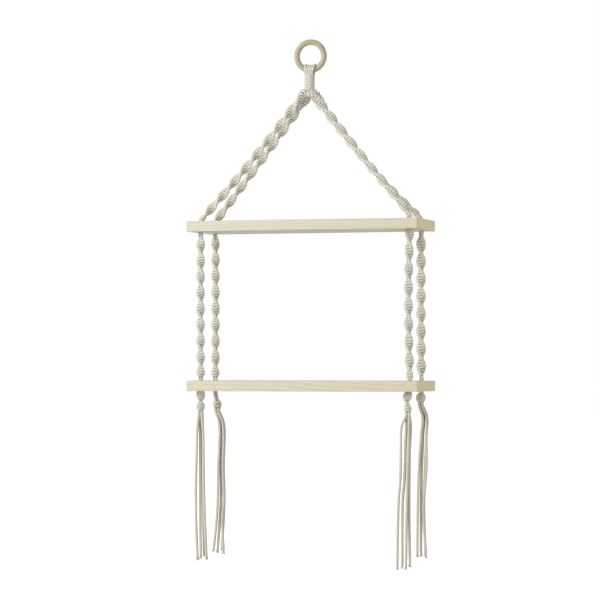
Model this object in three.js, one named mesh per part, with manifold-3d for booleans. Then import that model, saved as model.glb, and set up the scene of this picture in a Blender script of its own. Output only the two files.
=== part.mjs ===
// Hanging rope shelf: two pine boards on four ropes of spiral knots, which gather in a
// wrapped neck and loop over a wooden ring.
// Millimetres, +Z up, +X along the boards, the front towards -Y. The origin is the lowest
// point of the ring's bore at its top, where the ring rests on its hook.

import * as THREE from 'three';
import { mergeVertices } from 'three/addons/utils/BufferGeometryUtils.js';
import Module from 'manifold-3d';

const wasm = await Module();
wasm.setup();

// Ring
const ringDiameter = 61;
const ringBarDiameter = 10.2;

// Boards
const boardLength = 432;
const boardDepth = 127;
const boardThickness = 19;
const boardEdgeRound = 1.2;
const boardCornerRound = 2;
const holeFromEnd = 20.6;
const holeFromFront = 22.4;

// Heights
const hookToUpperBoard = 318.5;
const boardSpacing = 288;

// Clearances
const seatGap = 0.3;
const loopGap = 0.5;
const turnGap = 0.45;
const overrun = 5;

// Cords over the ring
const loopCount = 5;
const loopCordPitch = 4.3;
const neckCordPitch = 1.95;
const neckCordDepth = 2.7;

// Neck and its wrapping
const neckDiameter = 12.2;
const neckEdge = 1;
const neckBallDiameter = 10;
const wrapCordDiameter = 3.15;
const wrapTurns = 7.75;
const wrapBelowRing = 2.1;

// Knotted ropes
const ropeWidth = 15.6;
const ropeThickness = 7.6;
const bundleDiameter = 9;
const legRootShare = 0.35;
const legRootApart = 8.8;
const legRootDrop = 4.4;
const legTaper = 34;
const ropeTaper = 10;
const bendLength = 17;
const stubLength = 8.5;
const stubNeck = 2.5;
const knotWaistDiameter = 10;
const knotEndDiameter = 11.6;

// Free strands
const cordDiameter = 4.5;
const strandApart = 4.9;

// Length of one unit of the corner table
const tableUnit = 1;

// Angle that the flat of each bead faces, to the right of the front
const beadFacing = THREE.MathUtils.degToRad(16.7);

// Shape of a knot: how wide it is at shares of its height, and its lobes
const knotHeightShares = [-0.5, -0.3, 0, 0.3, 0.5];
const knotWidthShares = [0, 0.8, 1, 0.8, 0];
const knotLobeShare = 0.08;
const knotLobes = 3;
const knotTurn = THREE.MathUtils.degToRad(120);

// Counts of facets
const ringSteps = 36;
const ringSides = 10;
const holeSides = 20;
const edgeSteps = 2;
const loopSteps = 12;
const loopSides = 8;
const neckSides = 14;
const ballSteps = 4;
const wrapSteps = 24;
const wrapSides = 6;
const ropeSides = 8;
const stepsPerHalfTurn = 5;
const tipSteps = 3;
const rootSteps = 3;
const bendSteps = 4;
const knotSides = 12;
const strandSides = 8;
const strandStepDiameters = 3;

// The four corners, in units of the corner table. A leg starts beside the neck's axis, at a
// place below the wrapping, and turns down into its hole at its foot. Lengths along a leg
// start there, lengths along a lower rope at the upper board's underside, and each knot lies
// below the lower board's underside. A strand's points are its route from the last knot
// down: along X and Y from the hole, and down.
const cornerTable = [
  {
    name: 'front_left',
    sideX: -1,
    sideY: -1,
    legStart: [-13, -5, 5],
    legSag: 5.3,
    legFoot: 3,
    legFirstBead: 4.5,
    legHalfTurn: 32.5,
    ropeFirstBead: 23.4,
    ropeHalfTurn: 29.1,
    stubDiameter: 9,
    knots: [
      { below: 8.6, height: 16.6, width: 16, aside: 0 },
      { below: 29, height: 14.5, width: 15, aside: 0 },
    ],
    strands: [
      [[-5.4, -3, 34], [-6.6, -3, 80], [-8, -3.2, 140], [-7.4, -3, 200], [-4.4, -3, 268]],
      [[-1.4, 2.6, 34], [-1.2, 2.4, 80], [-1.2, 1.6, 140], [-0.6, 0.5, 200], [1.2, -0.5, 266]],
      [[5.6, -2.6, 34], [6.4, -2.8, 80], [7.4, -3, 140], [9.4, -3, 200], [12.6, -2.5, 267]],
      [[3.4, 3.2, 34], [3.6, 3.4, 80], [3.6, 3.2, 140], [4.4, 3.6, 200], [6.2, 4.4, 262]],
    ],
  },
  {
    name: 'back_left',
    sideX: -1,
    sideY: 1,
    legStart: [-8, 5, 12.7],
    legSag: 0.8,
    legFoot: 4,
    legFirstBead: 10,
    legHalfTurn: 33,
    ropeFirstBead: 17.8,
    ropeHalfTurn: 30,
    stubDiameter: 9,
    knots: [{ below: 26.5, height: 12, width: 16, aside: 4.2 }],
    strands: [
      [[9, -3, 27], [7, -3, 113], [6.2, -3, 168], [4, -3.2, 205], [-1.9, -3.4, 262]],
      [[10.6, 2.6, 27], [10.4, 2.4, 113], [11, 1.6, 168], [8.8, 1.2, 205], [4.6, 1, 264]],
      [[15.8, -2.8, 27], [16, -2.8, 113], [18, -2.8, 168], [15, -3, 205], [17.8, -3, 266]],
      [[15.8, 2.8, 27], [15.6, 3, 113], [17, 3.2, 168], [15.4, 3.2, 205], [12, 3.6, 260]],
    ],
  },
  {
    name: 'front_right',
    sideX: 1,
    sideY: -1,
    legStart: [7, -5, 7.3],
    legSag: 1.6,
    legFoot: 7.8,
    legFirstBead: -7,
    legHalfTurn: 31.1,
    ropeFirstBead: 40.4,
    ropeHalfTurn: 32.3,
    stubDiameter: 15,
    knots: [
      { below: 10.3, height: 13, width: 16, aside: -1.5 },
      { below: 32.5, height: 9, width: 14, aside: -3.5 },
    ],
    strands: [
      [[-14, -3, 24], [-15.4, -3, 60], [-16.6, -2.6, 115], [-20, -2.6, 160], [-22.6, -2.4, 277]],
      [[-6.8, 1.8, 24], [-8.4, 1.6, 60], [-10, 1.4, 115], [-13.4, 1, 160], [-14, 0.2, 275]],
      [[-1, -2.6, 24], [-1.6, -2.8, 60], [-3.4, -2.8, 115], [-4.8, -2.8, 160], [-6.6, -2.6, 276]],
      [[1.2, 2.6, 24], [-0.6, 2.6, 60], [-1.4, 2.4, 115], [-1.8, 2.2, 160], [0, 1.2, 272]],
    ],
  },
  {
    name: 'back_right',
    sideX: 1,
    sideY: 1,
    legStart: [7, 5, 7.8],
    legSag: 10,
    legFoot: 4,
    legFirstBead: -10.3,
    legHalfTurn: 29.3,
    ropeFirstBead: 24.2,
    ropeHalfTurn: 31.4,
    stubDiameter: 9,
    knots: [{ below: 13, height: 13, width: 17.4, aside: -1 }],
    strands: [
      [[3.2, -3.2, 27], [0.4, -3.2, 59], [-4, -3.2, 122], [-6, -3.2, 190], [-7, -3.2, 277]],
      [[4, 2.4, 27], [2.4, 2.4, 59], [-0.2, 2.4, 122], [-1, 1.8, 190], [-1.2, 1.2, 276]],
      [[10.4, -2.6, 27], [10, -2.8, 59], [9.6, -2.8, 122], [4.6, -2.8, 190], [9.4, -2.8, 278]],
      [[9.8, 3, 27], [8.6, 3, 59], [6, 3, 122], [4, 3.4, 190], [6.4, 3.6, 274]],
    ],
  },
];

// Places worked out from the sizes
const ringBarRadius = ringBarDiameter / 2;
const ringMajorRadius = ringDiameter / 2 - ringBarRadius;
const ringCentreZ = -(ringMajorRadius - ringBarRadius);
const ringBottomZ = ringCentreZ - ringDiameter / 2;
const neckRadius = neckDiameter / 2;
const wrapCordRadius = wrapCordDiameter / 2;
const wrapRadius = neckRadius + seatGap + wrapCordRadius;
const wrapPitch = wrapCordDiameter + turnGap;
const wrapTopZ = ringBottomZ - wrapBelowRing;
const wrapBottomZ = wrapTopZ - wrapTurns * wrapPitch - wrapCordDiameter;
const neckTopZ = wrapTopZ - neckEdge;
const swayZ = wrapBottomZ;
const holeX = boardLength / 2 - holeFromEnd;
const holeY = boardDepth / 2 - holeFromFront;
const bundleRadius = bundleDiameter / 2;
const holeRadius = (bundleRadius + seatGap) / Math.cos(Math.PI / holeSides);
const upperTopZ = -hookToUpperBoard;
const upperBottomZ = upperTopZ - boardThickness;
const lowerTopZ = upperTopZ - boardSpacing;
const lowerBottomZ = lowerTopZ - boardThickness;
const ropeTopPivotZ = upperBottomZ - stubLength - seatGap - bundleRadius;
const ropeBottomPivotZ = lowerTopZ + seatGap + bundleRadius;

// The corners, with their lengths worked out from the table
const corners = cornerTable.map(({ name, sideX, sideY, ...lengths }) => ({
  name,
  sideX,
  sideY,
  ...inUnits(lengths),
}));

// Materials
const pine = { color: 0xe6d8b8, roughness: 0.62, metalness: 0 };
const beech = { color: 0xd8c49a, roughness: 0.5, metalness: 0 };
const cotton = { color: 0xe4e0d2, roughness: 0.92, metalness: 0 };

const shelf = new THREE.Group();

// Numbers of the corner table, one by one or in lists, as lengths
function inUnits(entry) {
  if (typeof entry === 'number') {
    return entry * tableUnit;
  }
  if (Array.isArray(entry)) {
    return entry.map(inUnits);
  }
  return Object.fromEntries(Object.entries(entry).map(([name, value]) => [name, inUnits(value)]));
}

function addPart(name, geometry, look) {
  const mesh = new THREE.Mesh(geometry, new THREE.MeshStandardMaterial(look));
  mesh.name = name;
  shelf.add(mesh);
  return mesh;
}

function bareMesh(geometry) {
  const bare = geometry.clone();
  bare.deleteAttribute('normal');
  bare.deleteAttribute('uv');
  return mergeVertices(bare);
}

function toSolid(geometry) {
  const bare = bareMesh(geometry);
  return new wasm.Manifold(new wasm.Mesh({
    numProp: 3,
    vertProperties: new Float32Array(bare.attributes.position.array),
    triVerts: new Uint32Array(bare.index.array),
  }));
}

function toGeometry(solid) {
  const mesh = solid.getMesh();
  const geometry = new THREE.BufferGeometry();
  geometry.setAttribute('position', new THREE.BufferAttribute(mesh.vertProperties, 3));
  geometry.setIndex(new THREE.BufferAttribute(mesh.triVerts, 1));
  geometry.computeVertexNormals();
  return geometry;
}

// A closed solid swept along a spine of points. The section at each point is an outline
// across the spine, measured from the given reference direction.
function sweep(spine, outline, sides, reference) {
  const positions = [];
  spine.forEach((point, place) => {
    const before = spine[Math.max(place - 1, 0)];
    const after = spine[Math.min(place + 1, spine.length - 1)];
    const along = after.clone().sub(before).normalize();
    const across = reference.clone().projectOnPlane(along).normalize();
    const over = along.clone().cross(across);
    for (let side = 0; side < sides; side += 1) {
      const [a, b] = outline(place, (side / sides) * 2 * Math.PI);
      const corner = point.clone().addScaledVector(across, a).addScaledVector(over, b);
      positions.push(corner.x, corner.y, corner.z);
    }
  });
  const faces = [];
  for (let place = 0; place + 1 < spine.length; place += 1) {
    for (let side = 0; side < sides; side += 1) {
      const next = (side + 1) % sides;
      const a = place * sides + side;
      const b = place * sides + next;
      faces.push(a, b + sides, a + sides, a, b, b + sides);
    }
  }
  const last = (spine.length - 1) * sides;
  for (let side = 1; side + 1 < sides; side += 1) {
    faces.push(0, side + 1, side, last, last + side, last + side + 1);
  }
  const geometry = new THREE.BufferGeometry();
  geometry.setAttribute('position', new THREE.Float32BufferAttribute(positions, 3));
  geometry.setIndex(faces);
  geometry.computeVertexNormals();
  return geometry;
}

function ellipse(angle, halfWidth, halfDepth, turn) {
  const a = halfWidth * Math.cos(angle);
  const b = halfDepth * Math.sin(angle);
  return [a * Math.cos(turn) - b * Math.sin(turn), a * Math.sin(turn) + b * Math.cos(turn)];
}

function ease(share) {
  const inside = THREE.MathUtils.clamp(share, 0, 1);
  return Math.sin((inside * Math.PI) / 2);
}

const alongX = new THREE.Vector3(1, 0, 0);
const alongZ = new THREE.Vector3(0, 0, 1);

// The ring, upright in the XZ plane
function makeRing() {
  const ring = new THREE.TorusGeometry(ringMajorRadius, ringBarRadius, ringSides, ringSteps);
  ring.rotateX(Math.PI / 2);
  ring.translate(0, 0, ringCentreZ);
  addPart('wooden_ring', ring, beech);
}

// The cords side by side over the ring's bar, which draw together into the neck
function makeLoops() {
  const leaveAngle = THREE.MathUtils.degToRad(120);
  const neckCordRadius = (neckCordPitch - seatGap) / 2;
  const tipDrop = neckCordRadius * Math.sin(Math.PI - leaveAngle);
  for (let number = 1; number <= loopCount; number += 1) {
    const order = number - (loopCount + 1) / 2;
    const spine = [];
    const radii = [];
    const addPoint = (x, y, z, radius) => {
      spine.push(new THREE.Vector3(x, y, z));
      radii.push(radius);
    };
    const leavePitch = (loopCordPitch + neckCordPitch) / 2;
    for (let step = 0; step <= loopSteps; step += 1) {
      const angle = leaveAngle * ((2 * step) / loopSteps - 1);
      const drawn = Math.abs(angle) / leaveAngle;
      const pitch = THREE.MathUtils.lerp(loopCordPitch, leavePitch, drawn * drawn);
      const radius = (pitch - seatGap) / 2;
      const x = order * pitch;
      const lean = Math.cos(Math.asin(x / ringMajorRadius));
      const barZ = ringCentreZ - ringMajorRadius * lean;
      const reach = ringBarRadius + loopGap + radius;
      addPoint(x, reach * Math.sin(angle), barZ + (reach * Math.cos(angle)) / lean, radius);
    }
    const tip = new THREE.Vector3(order * neckCordPitch, neckCordDepth, neckTopZ + seatGap + tipDrop);
    spine.unshift(new THREE.Vector3(tip.x, -tip.y, tip.z));
    radii.unshift(neckCordRadius);
    spine.push(tip);
    radii.push(neckCordRadius);
    const outline = (place, angle) => ellipse(angle, radii[place], radii[place], 0);
    addPart(`cord_loop_${number}`, sweep(spine, outline, loopSides, alongX), cotton);
  }
}

// The gathered cords inside the wrapping, with a ball end that the legs swing round
function makeNeck() {
  const ballRadius = neckBallDiameter / 2;
  const profile = [
    new THREE.Vector2(0, neckTopZ),
    new THREE.Vector2(neckRadius - neckEdge, neckTopZ),
    new THREE.Vector2(neckRadius, neckTopZ - neckEdge),
    new THREE.Vector2(neckRadius, swayZ + neckEdge),
  ];
  for (let step = 0; step < ballSteps; step += 1) {
    const angle = (step / ballSteps) * (Math.PI / 2);
    profile.push(new THREE.Vector2(ballRadius * Math.cos(angle), swayZ - ballRadius * Math.sin(angle)));
  }
  profile.push(new THREE.Vector2(0, swayZ - ballRadius));
  profile.reverse();
  const neck = new THREE.LatheGeometry(profile, neckSides);
  neck.rotateX(Math.PI / 2);
  addPart('neck_core', neck, cotton);
}

// The wrapping: one cord wound round the neck, with both ends straight at the back
function makeWrap() {
  const topZ = wrapTopZ - wrapCordRadius;
  const steps = wrapSteps * wrapTurns;
  const spine = [];
  for (let step = 0; step <= steps; step += 1) {
    const turns = step / wrapSteps;
    const angle = Math.PI / 2 + turns * 2 * Math.PI;
    const z = topZ - turns * wrapPitch;
    spine.push(new THREE.Vector3(wrapRadius * Math.cos(angle), wrapRadius * Math.sin(angle), z));
  }
  const startRun = spine[0].clone().sub(spine[1]).setLength(wrapCordDiameter);
  const endRun = spine.at(-1).clone().sub(spine.at(-2)).setLength(wrapCordDiameter);
  spine.unshift(spine[0].clone().add(startRun));
  spine.push(spine.at(-1).clone().add(endRun));
  const outline = (place, angle) => ellipse(angle, wrapCordRadius, wrapCordRadius, 0);
  addPart('neck_wrap', sweep(spine, outline, wrapSides, alongZ), cotton);
  console.log(`neck_wrap: least gap to itself ${leastGap(spine, wrapCordDiameter).toFixed(2)} mm`);
}

// Least gap between stretches of one cord that lie at least a quarter turn apart
function leastGap(spine, diameter) {
  let least = Infinity;
  for (let one = 0; one < spine.length; one += 1) {
    for (let other = one + wrapSteps / 4; other < spine.length; other += 1) {
      least = Math.min(least, spine[one].distanceTo(spine[other]) - diameter);
    }
  }
  return least;
}

// A board with its four drilled holes, its top face at the given height
function makeBoard(name, topZ) {
  const halfX = boardLength / 2 - boardEdgeRound;
  const halfY = boardDepth / 2 - boardEdgeRound;
  const outline = new THREE.Shape();
  const quarter = Math.PI / 2;
  const turns = [[1, -1, -quarter], [1, 1, 0], [-1, 1, quarter], [-1, -1, 2 * quarter]];
  for (const [sideX, sideY, start] of turns) {
    const centreX = sideX * (halfX - boardCornerRound);
    const centreY = sideY * (halfY - boardCornerRound);
    outline.absarc(centreX, centreY, boardCornerRound, start, start + quarter);
  }
  const plank = new THREE.ExtrudeGeometry(outline, {
    depth: boardThickness - 2 * boardEdgeRound,
    bevelThickness: boardEdgeRound,
    bevelSize: boardEdgeRound,
    bevelSegments: edgeSteps,
    curveSegments: edgeSteps,
  });
  plank.translate(0, 0, boardEdgeRound - boardThickness);
  let board = toSolid(plank);
  const drillLength = boardThickness + 2 * overrun;
  for (const corner of corners) {
    const drill = new THREE.CylinderGeometry(holeRadius, holeRadius, drillLength, holeSides);
    drill.rotateX(Math.PI / 2);
    drill.translate(corner.sideX * holeX, corner.sideY * holeY, -boardThickness / 2);
    board = board.subtract(toSolid(drill));
  }
  addPart(name, toGeometry(board), pine).position.z = topZ;
}

// A leg: a rope of spiral knots from the neck to the upper board, through its hole and out
// below as a short stub
function makeLeg(corner) {
  const [startX, startY, below] = corner.legStart;
  const start = new THREE.Vector3(startX, startY, swayZ - below);
  const rootY = corner.sideY * (legRootApart / 2);
  const root = new THREE.Vector3(startX * legRootShare, rootY, swayZ - legRootDrop);
  const mouth = new THREE.Vector3(corner.sideX * holeX, corner.sideY * holeY, upperTopZ);
  const aim = mouth.clone();
  aim.z += corner.legFoot;
  const run = aim.clone().sub(start);
  const straight = run.length() - bendLength;
  const hangEnd = start.clone().addScaledVector(run.normalize(), straight);
  const hangAt = (share) => {
    const point = start.clone().lerp(hangEnd, share);
    point.z -= 4 * corner.legSag * share * (1 - share);
    return point;
  };
  const steps = Math.round((straight / corner.legHalfTurn) * stepsPerHalfTurn);
  const rootCurve = new THREE.CatmullRomCurve3([root, start, hangAt(1 / steps)]);
  const rootLength = root.distanceTo(start);
  const spine = [];
  const sections = [];
  const addSection = (point, length) => {
    spine.push(point);
    const opened = ease((length + rootLength) / legTaper);
    const closed = ease((straight + bendLength - length) / legTaper);
    const swell = Math.min(opened, closed);
    const thin = opened < closed ? cordDiameter : bundleDiameter;
    sections.push({
      halfWidth: THREE.MathUtils.lerp(thin, ropeWidth, swell) / 2,
      halfDepth: THREE.MathUtils.lerp(thin, ropeThickness, swell) / 2,
      turn: (Math.PI * (corner.legFirstBead - length)) / corner.legHalfTurn - beadFacing,
    });
  };
  for (let step = 0; step < rootSteps; step += 1) {
    const share = step / rootSteps;
    addSection(rootCurve.getPoint(share / 2), rootLength * (share - 1));
  }
  for (let step = 0; step <= steps; step += 1) {
    addSection(hangAt(step / steps), straight * (step / steps));
  }
  const bendStart = spine.at(-1);
  const lastTurn = sections.at(-1).turn;
  const bendStartSection = sections.at(-1);
  const mouthTop = mouth.clone();
  mouthTop.z += seatGap;
  const bend = new THREE.QuadraticBezierCurve3(bendStart, aim, mouthTop);
  for (let step = 1; step <= bendSteps; step += 1) {
    const share = step / bendSteps;
    spine.push(bend.getPoint(share));
    sections.push({
      halfWidth: THREE.MathUtils.lerp(bendStartSection.halfWidth, bundleRadius, share),
      halfDepth: THREE.MathUtils.lerp(bendStartSection.halfDepth, bundleRadius, share),
      turn: lastTurn,
    });
  }
  const addRound = (z, radius) => {
    spine.push(new THREE.Vector3(mouth.x, mouth.y, z));
    sections.push({ halfWidth: radius, halfDepth: radius, turn: lastTurn });
  };
  const stubRadius = corner.stubDiameter / 2;
  addRound(upperTopZ, bundleRadius);
  addRound(upperBottomZ - seatGap, bundleRadius);
  addRound(upperBottomZ - stubNeck, stubRadius);
  addRound(upperBottomZ - stubLength + stubNeck, stubRadius);
  addRound(upperBottomZ - stubLength, bundleRadius);
  const outline = (place, angle) => {
    const { halfWidth, halfDepth, turn } = sections[place];
    return ellipse(angle, halfWidth, halfDepth, turn);
  };
  addPart(`upper_rope_${corner.name}`, sweep(spine, outline, ropeSides, alongX), cotton);
}

// A lower rope of spiral knots, between the ball ends that it sways round
function makeLowerRope(corner) {
  const run = ropeTopPivotZ - ropeBottomPivotZ;
  const steps = Math.round((run / corner.ropeHalfTurn) * stepsPerHalfTurn);
  const firstBead = corner.ropeFirstBead - (upperBottomZ - ropeTopPivotZ);
  const spine = [];
  const sections = [];
  const addSection = (length, halfWidth, halfDepth) => {
    const z = ropeTopPivotZ - length;
    spine.push(new THREE.Vector3(corner.sideX * holeX, corner.sideY * holeY, z));
    const turn = (Math.PI * (firstBead - length)) / corner.ropeHalfTurn - beadFacing;
    sections.push({ halfWidth, halfDepth, turn });
  };
  const addTipSection = (end, side, step) => {
    const angle = (Math.PI / 2) * (step / tipSteps);
    const radius = bundleRadius * Math.sin(angle);
    addSection(end + side * bundleRadius * Math.cos(angle), radius, radius);
  };
  for (let step = 1; step < tipSteps; step += 1) {
    addTipSection(0, -1, step);
  }
  for (let step = 0; step <= steps; step += 1) {
    const length = run * (step / steps);
    const swell = Math.min(ease(length / ropeTaper), ease((run - length) / ropeTaper));
    const halfWidth = THREE.MathUtils.lerp(bundleDiameter, ropeWidth, swell) / 2;
    const halfDepth = THREE.MathUtils.lerp(bundleDiameter, ropeThickness, swell) / 2;
    addSection(length, halfWidth, halfDepth);
  }
  for (let step = tipSteps - 1; step >= 1; step -= 1) {
    addTipSection(run, 1, step);
  }
  const outline = (place, angle) => {
    const { halfWidth, halfDepth, turn } = sections[place];
    return ellipse(angle, halfWidth, halfDepth, turn);
  };
  addPart(`lower_rope_${corner.name}`, sweep(spine, outline, ropeSides, alongX), cotton);
}

// The rope's end: through the lower board's hole, with the knots that the board rests on
function makeEndKnots(corner) {
  const spine = [];
  const sections = [];
  const addSection = (aside, z, radius, lobe, turn) => {
    spine.push(new THREE.Vector3(corner.sideX * holeX + aside, corner.sideY * holeY, z));
    sections.push({ radius, lobe, turn });
  };
  addSection(0, lowerTopZ, bundleRadius, 0, 0);
  addSection(0, lowerBottomZ - seatGap / 2, bundleRadius, 0, 0);
  for (const knot of corner.knots) {
    const waistRadius = knotWaistDiameter / 2;
    knotHeightShares.forEach((heightShare, place) => {
      const z = lowerBottomZ - knot.below - heightShare * knot.height;
      const radius = THREE.MathUtils.lerp(waistRadius, knot.width / 2, knotWidthShares[place]);
      const lobe = knotLobeShare * knotWidthShares[place];
      addSection(knot.aside, z, radius / (1 + lobe), lobe, -knotTurn * heightShare);
    });
  }
  sections.at(-1).radius = knotEndDiameter / 2;
  const outline = (place, angle) => {
    const { radius, lobe, turn } = sections[place];
    const reach = radius * (1 + lobe * Math.cos(knotLobes * (angle - turn)));
    return [reach * Math.cos(angle), reach * Math.sin(angle)];
  };
  addPart(`end_knots_${corner.name}`, sweep(spine, outline, knotSides, alongX), cotton);
}

// The free strands that hang from the last knot, two in front of two
function makeStrands(corner) {
  const lastKnot = corner.knots.at(-1);
  const topZ = lowerBottomZ - lastKnot.below - lastKnot.height / 2 - seatGap;
  const section = new THREE.Shape();
  section.absarc(0, 0, cordDiameter / 2, 0, 2 * Math.PI);
  corner.strands.forEach((route, place) => {
    const startX = lastKnot.aside + (place < 2 ? -strandApart : strandApart) / 2;
    const startY = (place % 2 ? strandApart : -strandApart) / 2;
    const start = [[startX, startY, 0], [startX, startY, cordDiameter]];
    const points = [...start, ...route].map(([x, y, down]) => new THREE.Vector3(
      corner.sideX * holeX + x,
      corner.sideY * holeY + y,
      topZ - down,
    ));
    const path = new THREE.CatmullRomCurve3(points, false, 'centripetal');
    const strand = new THREE.ExtrudeGeometry(section, {
      steps: Math.round(path.getLength() / (strandStepDiameters * cordDiameter)),
      curveSegments: strandSides / 2,
      extrudePath: path,
    });
    addPart(`strand_${corner.name}_${place + 1}`, strand, cotton);
  });
}

makeRing();
makeLoops();
makeNeck();
makeWrap();
makeBoard('upper_board', upperTopZ);
makeBoard('lower_board', lowerTopZ);
corners.forEach(makeLeg);
corners.forEach(makeLowerRope);
corners.forEach(makeEndKnots);
corners.forEach(makeStrands);

export default shelf;
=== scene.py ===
# Hanging rope shelf: two pine boards on four cotton ropes of spiral half knots, gathered
# in a wrapped neck under a wooden ring.
# Sizes are in millimetres, as in the part's source, and the meshes are made in metres.
# +Z is up, +X runs along the boards and the front is towards -Y. The origin is the top of
# the ring's bore, where the shelf hangs.

import math

import bpy
import numpy as np
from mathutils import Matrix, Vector


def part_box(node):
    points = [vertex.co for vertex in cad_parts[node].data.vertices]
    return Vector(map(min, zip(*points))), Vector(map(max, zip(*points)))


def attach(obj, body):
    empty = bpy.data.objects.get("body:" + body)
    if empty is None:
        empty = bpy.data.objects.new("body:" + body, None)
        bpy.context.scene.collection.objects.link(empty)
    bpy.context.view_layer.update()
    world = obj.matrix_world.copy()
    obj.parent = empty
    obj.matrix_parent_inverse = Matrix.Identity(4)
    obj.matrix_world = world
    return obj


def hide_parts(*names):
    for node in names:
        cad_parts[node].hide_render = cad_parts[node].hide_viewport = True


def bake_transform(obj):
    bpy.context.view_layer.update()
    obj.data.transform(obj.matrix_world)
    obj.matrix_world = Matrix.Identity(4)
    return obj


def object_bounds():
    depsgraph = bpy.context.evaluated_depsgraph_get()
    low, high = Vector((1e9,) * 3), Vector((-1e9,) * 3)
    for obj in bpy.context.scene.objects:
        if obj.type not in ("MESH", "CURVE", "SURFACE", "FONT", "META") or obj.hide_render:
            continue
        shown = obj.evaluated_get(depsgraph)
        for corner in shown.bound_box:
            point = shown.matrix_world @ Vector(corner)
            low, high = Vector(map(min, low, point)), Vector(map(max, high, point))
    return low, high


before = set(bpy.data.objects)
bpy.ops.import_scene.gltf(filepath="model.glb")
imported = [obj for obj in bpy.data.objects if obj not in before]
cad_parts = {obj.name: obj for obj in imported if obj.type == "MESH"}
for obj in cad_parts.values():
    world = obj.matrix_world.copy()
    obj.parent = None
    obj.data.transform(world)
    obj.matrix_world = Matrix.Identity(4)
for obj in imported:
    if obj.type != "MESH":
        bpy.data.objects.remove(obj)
cad_low, cad_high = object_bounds()
rng = np.random.default_rng(seed=11)

MM = 0.001
FULL_TURN = 2 * math.pi
QUARTER_TURN = math.pi / 2
ANY_ANGLE = 6
TINY = 1e-9

# Ring and boards. The ring's bar swells in waves, each given by its count round the ring,
# its start and its share of the bar.
RING_DIAMETER = 61
RING_BAR = 10.2
RING_STEPS = 160
RING_SIDES = 40
RING_WAVES = ((3, 1, 0.006), (7, 0, 0.004))
HOLE_FROM_END = 20.6
HOLE_FROM_FRONT = 22.4

# Cords over the ring
LOOPS = 5
LOOP_STEPS = 24
LOOP_CURVE_STEPS = 2
LOOP_PITCH = 4.3
LOOP_PITCH_BELOW = 3.4
LOOP_RADIUS = 2.15
LOOP_THINNER_BELOW = 0.35
LOOP_CLEARANCE = 0.4
LOOP_BULGE = 0.5
LOOP_TIP_DEPTH = 6
LOOP_TIP_RADIUS = 1.85
LOOP_END_BELOW = 9
LEAVE_ANGLE = math.radians(120)

# Neck and wrapping. The bundle has rings of cords, each given by its count and its distance
# from the middle.
NECK_TO_SWAY = 31.05
NECK_ASIDE = -1.8
NECK_BUNDLE = ((1, 0), (6, 2.7))
NECK_BUNDLE_RADIUS = 1.35
NECK_BUNDLE_BELOW = 3
NECK_BUNDLE_STEP = 2
NECK_CORD_PITCH = 1.95
NECK_CORD_DEPTH = 2.7
NECK_CORD_RADIUS = 1.2
WRAP_RADIUS = 7.7
WRAP_TAPER = 0.35
WRAP_CORD_RADIUS = 2
WRAP_LOBE = 0.02
WRAP_TURNS = 8
WRAP_TURN_STEPS = 30
WRAP_ABOVE = 1.9
WRAP_UNEVENNESS = 0.12
WRAP_WAVE = 2.4
WRAP_TUCK_TURNS = 0.25
WRAP_TUCK_DEPTH = 2.2

# Knotted ropes. A part that is kept doesn't shrink with the width of a knot.
KNOTS_PER_HALF_TURN = 6.5
KNOT_CORD_RADIUS = 2.15
KNOT_FLATNESS = 0.78
KNOT_FILLER_RADIUS = 1.5
KNOT_DEPTH_KEPT = 0.5
KNOT_RADIUS_KEPT = 0.7
KNOT_RADIUS_KEPT_WHEN_FULL = 0.85
KNOT_JITTER_ACROSS = 0.07
KNOT_JITTER_OVER = 0.05
KNOT_LEAD = 1
KNOT_RUN_OUT = 1.2
WING_LEAN = math.radians(12.5)
BEAD_FACING = math.radians(16.7)
FILLER_REACH = 1.3
BUNDLE_WIDTH = 9
BUNDLE_CORD_RADIUS = 2.1
BUNDLE_REACH = 2.7
BUNDLE_STEP = 4
WORK_CURVE_STEPS = 2
FILL_CURVE_STEPS = 3
HOLE_ANGLE = math.pi / 4

# Legs. The root is where a leg's cords lie in the neck: beside its middle along X and Y, and
# over its lower end.
LEG_ROOT = ((2.2, 2.6, 5), (2.8, 3.2, 0))
LEG_KNOTS_BEFORE_START = 6
LEG_OPENING = 30
LEG_TAPER = 14
LEG_BARE = 10
LEG_ENDS_ABOVE = 2
LEG_POINTS = 25
LEAD_IN_STEPS = 6
BEND_LENGTH = 17
BEND_POINTS = 9

# Lower ropes and their end knots
ROPE_STARTS_ABOVE = 3
ROPE_OPENED = 4
ROPE_TAPER = 10
ROPE_KNOTS_SHORT = 1.5
ROPE_POINTS = 25
PIVOT_BELOW_UPPER = 13.3
PIVOT_ABOVE_LOWER = 4.8
END_KNOT_FULLNESS = 1.5
END_KNOT_PITCH = 4.4
END_KNOT_TURN = math.radians(28)
END_KNOT_ROUNDING = 0.16
END_KNOT_CLEARANCE = 0.5
END_KNOT_SHORT = 1
END_LINE_STEPS = 8
END_BUNDLE_BELOW = 3

# Free strands. Over its frayed length a strand's plies twist on and spread.
CORD_DIAMETER = 4.5
STRAND_APART = 4.9
STRAND_GAP = 0.3
STRAND_CURVE_STEPS = 60
STRAND_STEP = 1.2
STRAND_PATH_STEPS = 30
STRAND_FULLNESS = 1.14
STRAND_SWELL_LENGTH = 9
STRAND_START_KEPT = 0.78
STRAND_UNEVENNESS = 0.03
STRAND_WAVE = 17
FRAYED_LENGTH = 7
FRAYED_OVERLAP = 3
FRAYED_TWIST = 1.1
FRAYED_REACH = 1.05
FRAYED_SPREAD = (0.7, 1.5)
FRAYED_CURL = 1.5
FRAYED_END_SHIFT = (-1.0, 0.6)
FRAYED_RADIUS = 1.1
FRAYED_SWELL = 0.15
FRAYED_LOBE = 0.22
FRAYED_LAY = 9

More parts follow.
